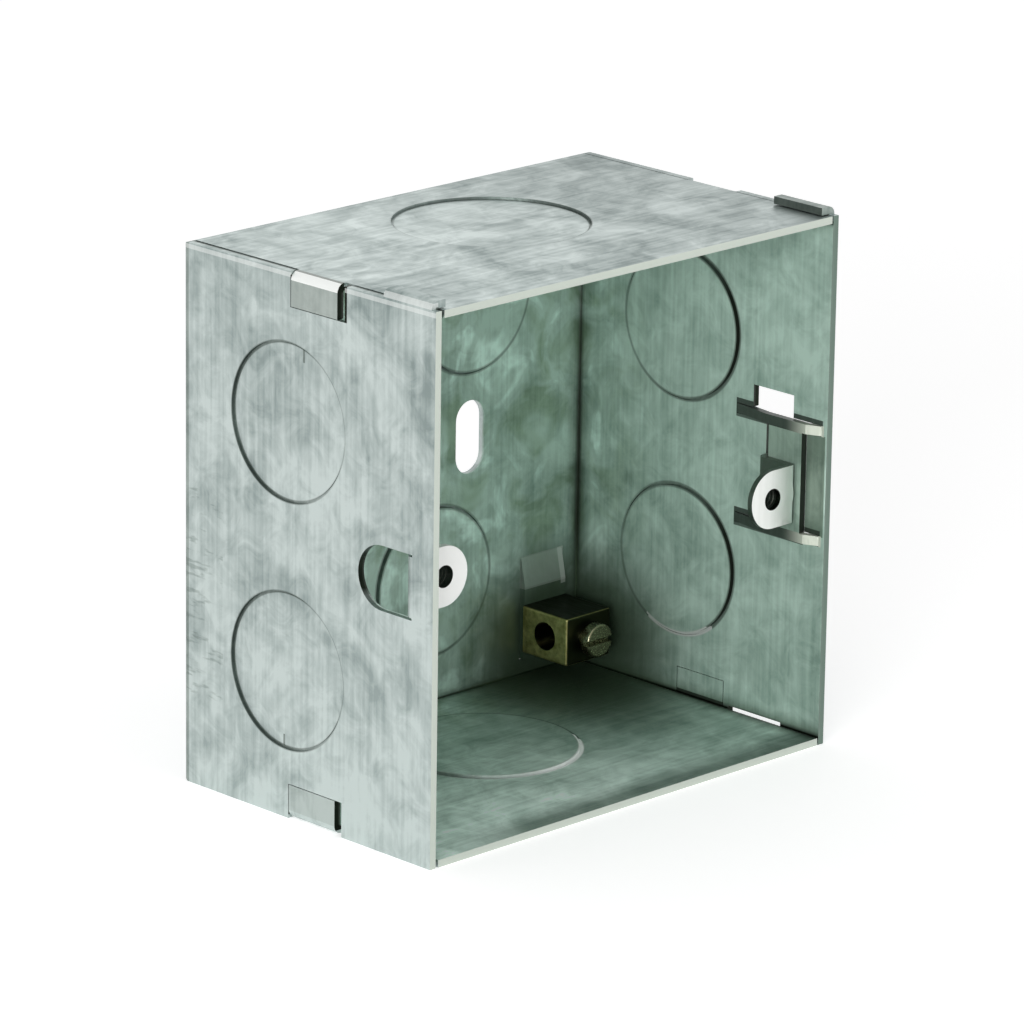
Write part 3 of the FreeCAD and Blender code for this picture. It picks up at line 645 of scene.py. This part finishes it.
def drawBridge(at, tone):
    s = bridgeSettings
    tree = at.tree
    upper, lower = s["wings"]
    barZ = (lower[1], upper[0])
    barFront, barRear = s["bar"]
    behind = wall + s["skin"]
    onWall = (wall - s["skin"], behind)
    barX = (wall - s["barDepth"], behind)
    strength = s["strength"]
    tone = drawMarks(at, tone, [
        mark(barX, s["bar"], barZ, s["barFace"], blend="MULTIPLY"),
        mark((wall - 0.2, behind), (front + 0.3, barFront), barZ, s["barFront"], blend="MULTIPLY"),
        mark(barX, (barRear - 0.15, barRear + 0.45), barZ, s["shade"], strength["barRear"]),
    ])
    towardsTip = fade(tree, at.place["Y"], s["wingFade"], smooth=True)
    wingTone = mixColour(tree, towardsTip, s["shade"], s["wingTipHighlight"])
    rootY, tipY = s["y"][1], s["y"][0]
    for foot, top in s["wings"]:
        tone = drawMarks(at, tone, [
            mark(onWall, s["y"], (top, top + 0.8), s["shade"], strength["above"]),
            mark(onWall, (tipY + 3.0, rootY), (foot - 0.5, foot), s["shade"], strength["below"]),
            mark((wall - s["wingDepth"], behind), (tipY - 0.2, rootY), (foot - 0.1, top + 0.1), wingTone,
                 strength["wing"]),
        ])
    return tone


# painted shade on cut faces turned to the front, the front rim with painted shade on its right side, and
# the bare fixed lug with painted shade in its hole

edgeSettings = {
    "forward": (-0.35, -0.85),
    "sheared": {"x": (34.25, clear), "y": (front + 0.1, -3.0), "z": (-36.0, 36.0), "inGroove": 0.3},
    "rimDepth": 0.05,
    "rim": (0.56, 0.61, 0.55),
    "shadedRightRim": (0.16, 0.22, 0.185),
    "lugColour": (0.90, 0.91, 0.89),
    "lugReach": {"x": (-5.05, 4.15), "y": (-0.6, 0.6), "z": (-4.1, 4.1)},        # from the hole's middle
}


def bareEdgesAndShade(at, tone):
    s = edgeSettings
    tree = at.tree
    forward = remap(tree, at.facing["Y"], *s["forward"], 0.0, 1.0)
    cut = s["sheared"]
    # painted shade on cut faces that face the front
    sheared = product(tree, zoneMask(tree, at.corner, *zip(cut["x"], cut["y"], cut["z"])), forward,
                      choose(tree, product(tree, at.rings, at.outside), 1.0, cut["inGroove"]))
    tone = mixColour(tree, sheared, tone, shearedColour)
    onRim = mathNode(tree, "LESS_THAN", at.place["Y"], (front + s["rimDepth"]) * mm)
    onRight = mathNode(tree, "GREATER_THAN", at.place["X"], (wall - 0.1) * mm)
    # the right rim painted darker, as painted shade
    rimTone = mixColour(tree, onRight, s["rim"], s["shadedRightRim"])
    tone = mixColour(tree, product(tree, onRim, forward), tone, rimTone)
    hole = mounts["fixed_lug_thread"]
    spans = [(middle + low, middle + high) for middle, (low, high) in zip(hole, s["lugReach"].values())]
    lug = zoneMask(tree, at.vector, *zip(*spans))
    tone = mixColour(tree, lug, tone, s["lugColour"])
    # painted shade in the fixed lug's hole
    holeWall = product(tree, spotMask(tree, at.vector, holeSpot("fixed_lug_thread")), lug)
    return mixColour(tree, holeWall, tone, shearedColour)


# the sheet's finish as a whole

sheetFinish = {
    "blend": {"Clouds": 0.46, "Patches": 0.32, "Streaks": 0.22},
    "insideMetal": 0.4,
    "roughSpan": (0.34, 0.66),
    "roughness": (0.54, 0.38),
    "bumpDepth": 0.05,
    "bumpStrength": 0.5,
}


def sheetMaterial():
    s = sheetFinish
    material, tree, shader = newMaterial("galvanisedSheet")
    at = sheetPoint(tree)
    at.rings = ringMask(at)
    coat = placeGroup(tree, zincCoat, Vector=at.vector, Normal=at.normal)
    blend = total(tree, *(product(tree, coat[name], share) for name, share in s["blend"].items()))
    tone = zincTone(at, blend)
    for layer in (shadeFolds, insideShadingAndBlotches, drawRings, rimShadeAndNicks, drawTabs):
        tone = layer(at, tone)
    tone = drawMarks(at, tone, sheetMarks)
    for layer in (drawRightLip, drawBridge, bareEdgesAndShade):
        tone = layer(at, tone)
    wire(tree, tone, shader.inputs["Base Color"])
    metal = choose(tree, at.inside, 1.0, s["insideMetal"])
    wire(tree, mathNode(tree, "MAXIMUM", metal, at.foldCore), shader.inputs["Metallic"])
    wire(tree, remap(tree, blend, *s["roughSpan"], *s["roughness"]), shader.inputs["Roughness"])
    relief = total(tree, coat["Streaks"], coat["Grain"])
    bumpNode(tree, shader, relief, s["bumpDepth"] * mm, s["bumpStrength"])
    return material


# sliding lug, with painted shade on its sides and in its hole

lugSettings = {
    "dull": (0.80, 0.82, 0.79),
    "bright": (0.95, 0.96, 0.94),
    # painted shade on faces turned away from the front
    "edge": (0.20, 0.23, 0.20),
    "edgeTurn": (-0.9, -0.5),
    "grainSpan": (0.3, 0.7),
    "roughness": (0.33, 0.46),
}


def lugMaterial():
    s = lugSettings
    material, tree, shader = newMaterial("platedLug")
    where = newNode(tree, "ShaderNodeTexCoord").outputs
    coat = placeGroup(tree, zincCoat, Vector=where["Object"], Normal=where["Normal"])
    tone = mixColour(tree, coat["Streaks"], s["dull"], s["bright"])
    turnedAway = remap(tree, splitVector(tree, where["Normal"])["Y"], *s["edgeTurn"], 0.0, 1.0)
    tone = mixColour(tree, turnedAway, tone, s["edge"])
    holeWall = spotMask(tree, where["Object"], holeSpot("adjustable_lug_thread"))
    wire(tree, mixColour(tree, holeWall, tone, shearedColour), shader.inputs["Base Color"])
    shader.inputs["Metallic"].default_value = 1.0
    wire(tree, remap(tree, coat["Grain"], *s["grainSpan"], *s["roughness"]), shader.inputs["Roughness"])
    return material


# brass of the earth terminal, with painted shade on faces that face the front or up

brassSettings = {
    "tarnish": {"scale": 700.0, "detail": 5.0, "roughness": 0.65},
    "tarnishSpan": (0.35, 0.65),
    "turning": {"scale": 3500.0, "detail": 2.0},
    "turningStretch": (1.0, 0.1, 1.0),
    "turningSpan": (0.3, 0.7),
    "forward": (-0.4, -0.9),
    "upward": (0.4, 0.9),
    "block": {"dull": (0.40, 0.36, 0.13), "bright": (0.80, 0.73, 0.33), "shaded": (0.018, 0.022, 0.010),
              "roughness": (0.34, 0.50)},
    "screw": {"dull": (0.26, 0.25, 0.155), "bright": (0.52, 0.50, 0.36), "shaded": (0.17, 0.168, 0.10),
              "roughness": (0.18, 0.34)},
}


def brassMaterial(name, piece):
    s = brassSettings
    material, tree, shader = newMaterial(name)
    where = newNode(tree, "ShaderNodeTexCoord").outputs
    tarnish = noise(tree, where["Object"], **s["tarnish"])
    turning = noise(tree, stretched(tree, where["Object"], s["turningStretch"]), **s["turning"])
    facing = splitVector(tree, where["Normal"])
    tarnish = remap(tree, tarnish, *s["tarnishSpan"], 0.0, 1.0)
    tone = mixColour(tree, tarnish, piece["dull"], piece["bright"])
    forward = remap(tree, facing["Y"], *s["forward"], 0.0, 1.0)
    upward = remap(tree, facing["Z"], *s["upward"], 0.0, 1.0)
    # painted shade on faces that face the front or up
    tone = mixColour(tree, mathNode(tree, "MAXIMUM", forward, upward), tone, piece["shaded"])
    wire(tree, tone, shader.inputs["Base Color"])
    shader.inputs["Metallic"].default_value = 1.0
    wire(tree, remap(tree, turning, *s["turningSpan"], *piece["roughness"]), shader.inputs["Roughness"])
    return material


def dress(node, material):
    for slot in nodes[node].material_slots:
        slot.material = material


# tapped sleeves drawn out behind the two lug holes, their bores dark with painted shade

sleeveSettings = {
    "wall": 0.65,
    "length": 1.7,
    "sink": 0.02,              # into the back of the lug
    "boreSlack": 0.02,         # faces this near the bore are tapped
    "chamfer": {"across": 0.25, "along": 0.3},
    "steps": 48,
    "pitch": 0.6,
    "threadDepth": 0.2,
    "roughness": 0.5,
    # painted shade in the tapped bores
    "boreShade": (0.045, 0.05, 0.042),
    "drawn": (0.55, 0.58, 0.55),
    "lugs": [
        {"name": "fixedLugSleeve", "hole": "fixed_lug_thread", "body": "box", "slot": "galvanised_sheet"},
        {"name": "slidingLugSleeve", "hole": "adjustable_lug_thread", "body": "sliding_lug",
         "slot": "lug_steel"},
    ],
}
wavePeriod = math.pi / 10.0        # of the band wave at a scale of one


def sleeveMaterial(name, colour):
    s = sleeveSettings
    material, tree, shader = newMaterial(name)
    where = newNode(tree, "ShaderNodeTexCoord").outputs
    thread = newNode(tree, "ShaderNodeTexWave", wave_type="BANDS", bands_direction="Y")
    wire(tree, where["Object"], thread.inputs["Vector"])
    thread.inputs["Scale"].default_value = wavePeriod / (s["pitch"] * mm)
    shader.inputs["Base Color"].default_value = (*colour, 1.0)
    shader.inputs["Metallic"].default_value = 1.0
    shader.inputs["Roughness"].default_value = s["roughness"]
    bumpNode(tree, shader, thread.outputs["Fac"], s["threadDepth"] * mm)
    return material


def buildSleeve(lug, drawn, boreShade):
    s = sleeveSettings
    hole = mountSizes[lug["hole"]]
    bore = hole["r_mm"]
    outer = bore + s["wall"]
    x, y, z = mounts[lug["hole"]]
    lugBack = (x, y + hole["length_mm"] / 2, z)
    profile = ((bore, -s["sink"]), (outer, -s["sink"]), (outer, s["length"] - s["chamfer"]["along"]),
               (outer - s["chamfer"]["across"], s["length"]), (bore, s["length"]))
    mesh = bpy.data.meshes.new(lug["name"])
    shape = bmesh.new()
    points = [shape.verts.new(millimetres(radius, along, 0.0)) for radius, along in profile]
    edges = [shape.edges.new((first, second)) for first, second in zip(points, points[1:] + points[:1])]
    bmesh.ops.spin(shape, geom=edges, cent=(0.0, 0.0, 0.0), axis=(0.0, 1.0, 0.0), angle=math.tau,
                   steps=s["steps"], use_merge=True)
    bmesh.ops.remove_doubles(shape, verts=shape.verts, dist=1e-6)
    bmesh.ops.recalc_face_normals(shape, faces=shape.faces)
    for face in shape.faces:
        middle = face.calc_center_median()
        face.material_index = int(math.hypot(middle.x, middle.z) < (bore + s["boreSlack"]) * mm)
    bmesh.ops.translate(shape, verts=shape.verts, vec=millimetres(*lugBack))
    shape.to_mesh(mesh)
    shape.free()
    mesh.materials.append(drawn)
    mesh.materials.append(boreShade)
    piece = bpy.data.objects.new(lug["name"], mesh)
    bpy.context.scene.collection.objects.link(piece)
    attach(piece, lug["body"])


drawnSleeve = sleeveMaterial("drawnSleeve", sleeveSettings["drawn"])
boreShadeSleeve = sleeveMaterial("boreShadeSleeve", sleeveSettings["boreShade"])
for lug in sleeveSettings["lugs"]:
    buildSleeve(lug, drawnSleeve, boreShadeSleeve)
print("sleeves built")

dress("box_body", sheetMaterial())
dress("adjustable_lug", lugMaterial())
dress("earth_terminal_block", brassMaterial("terminalBrass", brassSettings["block"]))
dress("earth_terminal_screw", brassMaterial("screwBrass", brassSettings["screw"]))
print("finishes set")


# white studio: pale floor, white surroundings and three soft lamps

studioSettings = {
    "floorSize": 6.0,
    "floorColour": (0.86, 0.86, 0.86),
    "floorRoughness": 0.9,
    "floorGlow": 0.45,
    "skyFill": 0.55,
    "white": (1.0, 1.0, 1.0, 1.0),
    "lamps": [
        {"name": "keyLamp", "place": (-1.25, -0.68, 0.15), "size": 0.7, "power": 19.0},
        {"name": "fillLamp", "place": (1.1, -0.9, 0.6), "size": 0.8, "power": 2.0},
        {"name": "backLamp", "place": (1.0, 1.0, 0.55), "size": 0.9, "power": 0.8},
    ],
}


def seenDirectly(tree):
    # camera, mirror-like and see-through rays all meet the same white surroundings
    path = newNode(tree, "ShaderNodeLightPath")
    either = mathNode(tree, "MAXIMUM", path.outputs["Is Camera Ray"], path.outputs["Is Glossy Ray"])
    return mathNode(tree, "MAXIMUM", either, path.outputs["Is Transmission Ray"])


def buildFloor():
    s = studioSettings
    mesh = bpy.data.meshes.new("floor")
    sheet = bmesh.new()
    bmesh.ops.create_grid(sheet, x_segments=1, y_segments=1, size=s["floorSize"] / 2)
    sheet.to_mesh(mesh)
    sheet.free()
    floor = bpy.data.objects.new("floor", mesh)
    floor.location.z = cadBounds[0][2]
    bpy.context.scene.collection.objects.link(floor)
    material, tree, shader = newMaterial("paleFloor")
    shader.inputs["Base Color"].default_value = (*s["floorColour"], 1.0)
    shader.inputs["Roughness"].default_value = s["floorRoughness"]
    shader.inputs["Specular IOR Level"].default_value = 0.0
    shader.inputs["Emission Color"].default_value = s["white"]
    wire(tree, product(tree, seenDirectly(tree), s["floorGlow"]), shader.inputs["Emission Strength"])
    mesh.materials.append(material)


def buildSky():
    s = studioSettings
    world = bpy.data.worlds.new("studio")
    bpy.context.scene.world = world
    world.use_nodes = True
    tree = world.node_tree
    sky = tree.nodes["Background"]
    sky.inputs["Color"].default_value = s["white"]
    wire(tree, choose(tree, seenDirectly(tree), s["skyFill"], 1.0), sky.inputs["Strength"])


def buildLamp(lamp):
    data = bpy.data.lights.new(lamp["name"], "AREA")
    data.energy = lamp["power"]
    data.size = lamp["size"]
    light = bpy.data.objects.new(lamp["name"], data)
    light.location = lamp["place"]
    light.rotation_euler = (-Vector(lamp["place"])).to_track_quat("-Z", "Y").to_euler()
    bpy.context.scene.collection.objects.link(light)


buildFloor()
buildSky()
for lamp in studioSettings["lamps"]:
    buildLamp(lamp)
print("studio built")


# camera at the photograph's viewing angle

cameraSettings = {
    "azimuth": -44.771,        # degrees round the box from straight in front
    "elevation": 16.991,
    "roll": 0.848,
    "distance": 0.83736,
    "target": (0.00048, -0.0235, -0.00208),
    "focalPixels": 6387.1,
    "framePixels": 1024.0,
    "sensorWidth": 36.0,
    "nearClip": 0.01,
}


def buildCamera():
    s = cameraSettings
    azimuth, elevation, roll = (math.radians(s[name]) for name in ("azimuth", "elevation", "roll"))
    back = Vector((math.sin(azimuth) * math.cos(elevation), -math.cos(azimuth) * math.cos(elevation),
                   math.sin(elevation)))
    right = Vector((math.cos(azimuth), math.sin(azimuth), 0.0))
    up = back.cross(right)
    turnedRight = right * math.cos(roll) + up * math.sin(roll)
    turnedUp = up * math.cos(roll) - right * math.sin(roll)
    data = bpy.data.cameras.new("camera")
    data.sensor_width = s["sensorWidth"]
    data.lens = s["focalPixels"] / s["framePixels"] * s["sensorWidth"]
    data.clip_start = s["nearClip"]
    camera = bpy.data.objects.new("camera", data)
    turn = Matrix((turnedRight, turnedUp, back)).transposed().to_4x4()
    camera.matrix_world = Matrix.Translation(Vector(s["target"]) + back * s["distance"]) @ turn
    bpy.context.scene.collection.objects.link(camera)
    bpy.context.scene.camera = camera


buildCamera()
bpy.context.scene.view_settings.view_transform = "Standard"
print("camera set")
